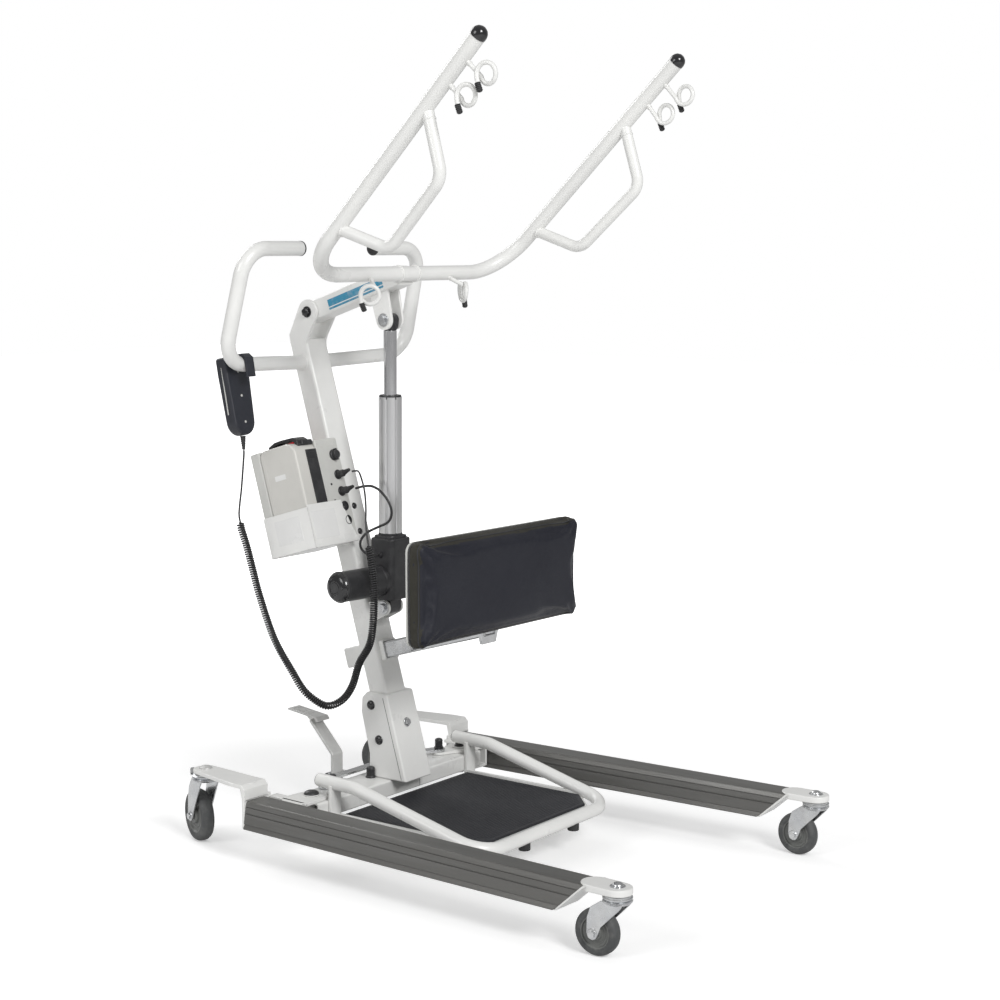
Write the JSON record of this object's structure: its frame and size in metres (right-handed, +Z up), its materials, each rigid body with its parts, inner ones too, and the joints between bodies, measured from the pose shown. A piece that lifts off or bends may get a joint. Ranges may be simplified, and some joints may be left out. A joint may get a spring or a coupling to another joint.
{
  "type": "sit-to-stand lift",
  "caption": "Sit-to-stand patient lift: white tube frame on casters with swinging arms, sling hooks, knee pad, footplate, push handle, battery box and hanging handset.",
  "frame": {"origin": "middle of the bounding box's base, on the floor", "axes": "+Z up; the person stands on the -Y side, the attendant at +Y; the battery box is on the -X side"},
  "size_m": [0.7338, 1.08, 1.4967],
  "materials": {
    "white_paint": "satin powder coat",
    "anodised": "satin anodised",
    "zinc": "bright zinc plate",
    "black_plastic": "fine texture",
    "grey_plastic": "fine texture",
    "red_plastic": "gloss",
    "wheel_rubber": "matte",
    "cord_rubber": "matte",
    "vinyl": "grained vinyl over foam",
    "mat": "ribbed"
  },
  "bodies": {
    "root": {"base_beam": "white_paint", "mast_tube": "white_paint", "mast_socket": "white_paint", "boom_pivot_bolt": "black_plastic", "actuator_lower_pin": "zinc", "push_handle": "white_paint", "footplate_frame": "white_paint", "footplate_mat": "mat", "knee_arm_outer": "white_paint", "control_unit": "grey_plastic", "battery_tray": "white_paint", "handset_plug": "black_plastic", "actuator_plug": "black_plastic", "handset_body": "black_plastic", "handset_strain_relief": "black_plastic", "handset_cord_upper": "cord_rubber", "handset_cord_coil": "cord_rubber", "handset_cord_lower": "cord_rubber", "actuator_cable": "cord_rubber"},
    "boom": {"boom_arm": "white_paint", "sling_frame": "white_paint", "arm_grip_near": "white_paint", "arm_grip_far": "white_paint", "arm_cap_near": "black_plastic", "arm_cap_far": "black_plastic", "arm_hook_near_1": "white_paint", "arm_hook_near_2": "white_paint", "arm_hook_far_1": "white_paint", "arm_hook_far_2": "white_paint", "frame_hook_near": "white_paint", "frame_hook_far": "white_paint"},
    "actuator": {"actuator_housing": "black_plastic", "actuator_tube": "anodised"},
    "rod": {"actuator_rod": "zinc", "rod_end": "black_plastic"},
    "knee_pad": {"knee_pad_carrier": "zinc", "knee_cushion": "vinyl"},
    "battery": {"battery_pack": "grey_plastic"},
    "stop_button": {"stop_button": "red_plastic"},
    "button_up": {"handset_button_up": "grey_plastic"},
    "button_down": {"handset_button_down": "grey_plastic"},
    "pedal": {"pedal_lever": "anodised"},
    "spreader": {"spreader_bar": "zinc"},
    "leg_near": {"leg_rail_near": "anodised", "leg_nose_near": "white_paint", "leg_hinge_near": "white_paint"},
    "front_near_fork": {"front_near_caster_fork": "zinc"},
    "front_near_wheel": {"front_near_wheel": "wheel_rubber"},
    "rear_near_fork": {"rear_near_caster_fork": "zinc"},
    "rear_near_wheel": {"rear_near_wheel": "wheel_rubber"},
    "rear_near_brake": {"rear_near_brake_pedal": "zinc"},
    "leg_far": {"leg_rail_far": "anodised", "leg_nose_far": "white_paint", "leg_hinge_far": "white_paint"},
    "front_far_fork": {"front_far_caster_fork": "zinc"},
    "front_far_wheel": {"front_far_wheel": "wheel_rubber"},
    "rear_far_fork": {"rear_far_caster_fork": "zinc"},
    "rear_far_wheel": {"rear_far_wheel": "wheel_rubber"},
    "rear_far_brake": {"rear_far_brake_pedal": "zinc"}
  },
  "joints": [
    {"name": "boom_tilt", "type": "hinge", "parent": "root", "child": "boom", "pos_m": [0, 0.42074, 1.013], "axis": [1, 0, 0], "range_deg": [-2, 32]},
    {"name": "actuator_tilt", "type": "hinge", "parent": "root", "child": "actuator", "pos_m": [0, 0.23874, 0.446], "axis": [-1, 0, 0], "range_deg": [-0.4, 4.1]},
    {"name": "rod_slide", "type": "slide", "parent": "actuator", "child": "rod", "axis": [0, -0.0072, 1], "range_m": [-0.0965, 0.0065]},
    {"name": "knee_pad_slide", "type": "slide", "parent": "root", "child": "knee_pad", "axis": [0, -0.9595, 0.2817], "range_m": [-0.1, 0.04]},
    {"name": "battery_lift", "type": "slide", "parent": "root", "child": "battery", "axis": [0, 0.2817, 0.9595], "range_m": [0, 0.11]},
    {"name": "stop_press", "type": "slide", "parent": "root", "child": "stop_button", "axis": [0, -0.2817, -0.9595], "range_m": [0, 0.003], "stiffness_N_per_m": 1200},
    {"name": "up_press", "type": "slide", "parent": "root", "child": "button_up", "axis": [0, -0.9826, 0.1857], "range_m": [0, 0.0012], "stiffness_N_per_m": 600},
    {"name": "down_press", "type": "slide", "parent": "root", "child": "button_down", "axis": [0, -0.9826, 0.1857], "range_m": [0, 0.0012], "stiffness_N_per_m": 600},
    {"name": "pedal_tilt", "type": "hinge", "parent": "root", "child": "pedal", "pos_m": [-0.088, 0.30424, 0.096], "axis": [1, 0, 0], "range_deg": [-4, 20]},
    {"name": "spreader_slide", "type": "slide", "parent": "root", "child": "spreader", "axis": [0, -1, 0], "range_m": [-0.0019, 0.009]},
    {"name": "leg_near_spread", "type": "hinge", "parent": "root", "child": "leg_near", "pos_m": [-0.225, 0.24674, 0.096], "axis": [0, 0, -1], "range_deg": [-2, 10]},
    {"name": "front_near_swivel", "type": "hinge", "parent": "leg_near", "child": "front_near_fork", "pos_m": [-0.33632, -0.51499, 0.1], "axis": [0, 0, 1], "continuous": true},
    {"name": "front_near_roll", "type": "hinge", "parent": "front_near_fork", "child": "front_near_wheel", "pos_m": [-0.33767, -0.47801, 0.04], "axis": [0.9993, 0.0366, 0], "continuous": true},
    {"name": "rear_near_swivel", "type": "hinge", "parent": "leg_near", "child": "rear_near_fork", "pos_m": [-0.29, 0.45901, 0.13], "axis": [0, 0, 1], "continuous": true},
    {"name": "rear_near_roll", "type": "hinge", "parent": "rear_near_fork", "child": "rear_near_wheel", "pos_m": [-0.27694, 0.49149, 0.05], "axis": [0.9278, -0.373, 0], "continuous": true},
    {"name": "rear_near_brake_press", "type": "hinge", "parent": "rear_near_fork", "child": "rear_near_brake", "pos_m": [-0.27881, 0.48685, 0.1347], "axis": [-0.9278, 0.373, 0], "range_deg": [0, 12]},
    {"name": "leg_far_spread", "type": "hinge", "parent": "root", "child": "leg_far", "pos_m": [0.225, 0.24674, 0.096], "axis": [0, 0, 1], "range_deg": [-2, 10]},
    {"name": "front_far_swivel", "type": "hinge", "parent": "leg_far", "child": "front_far_fork", "pos_m": [0.33632, -0.51499, 0.1], "axis": [0, 0, 1], "continuous": true},
    {"name": "front_far_roll", "type": "hinge", "parent": "front_far_fork", "child": "front_far_wheel", "pos_m": [0.33767, -0.47801, 0.04], "axis": [0.9993, -0.0366, 0], "continuous": true},
    {"name": "rear_far_swivel", "type": "hinge", "parent": "leg_far", "child": "rear_far_fork", "pos_m": [0.29, 0.45901, 0.13], "axis": [0, 0, 1], "continuous": true},
    {"name": "rear_far_roll", "type": "hinge", "parent": "rear_far_fork", "child": "rear_far_wheel", "pos_m": [0.27694, 0.49149, 0.05], "axis": [0.9278, 0.373, 0], "continuous": true},
    {"name": "rear_far_brake_press", "type": "hinge", "parent": "rear_far_fork", "child": "rear_far_brake", "pos_m": [0.27881, 0.48685, 0.1347], "axis": [-0.9278, -0.373, 0], "range_deg": [0, 12]}
  ],
  "couplings": [
    {"joint": "actuator_tilt", "follows": "boom_tilt", "ratio": 0.12},
    {"joint": "rod_slide", "follows": "boom_tilt", "m_per_rad": -0.17},
    {"joint": "spreader_slide", "follows": "pedal_tilt", "m_per_rad": 0.0255},
    {"joint": "leg_near_spread", "follows": "pedal_tilt", "ratio": 0.5},
    {"joint": "leg_far_spread", "follows": "pedal_tilt", "ratio": 0.5}
  ]
}
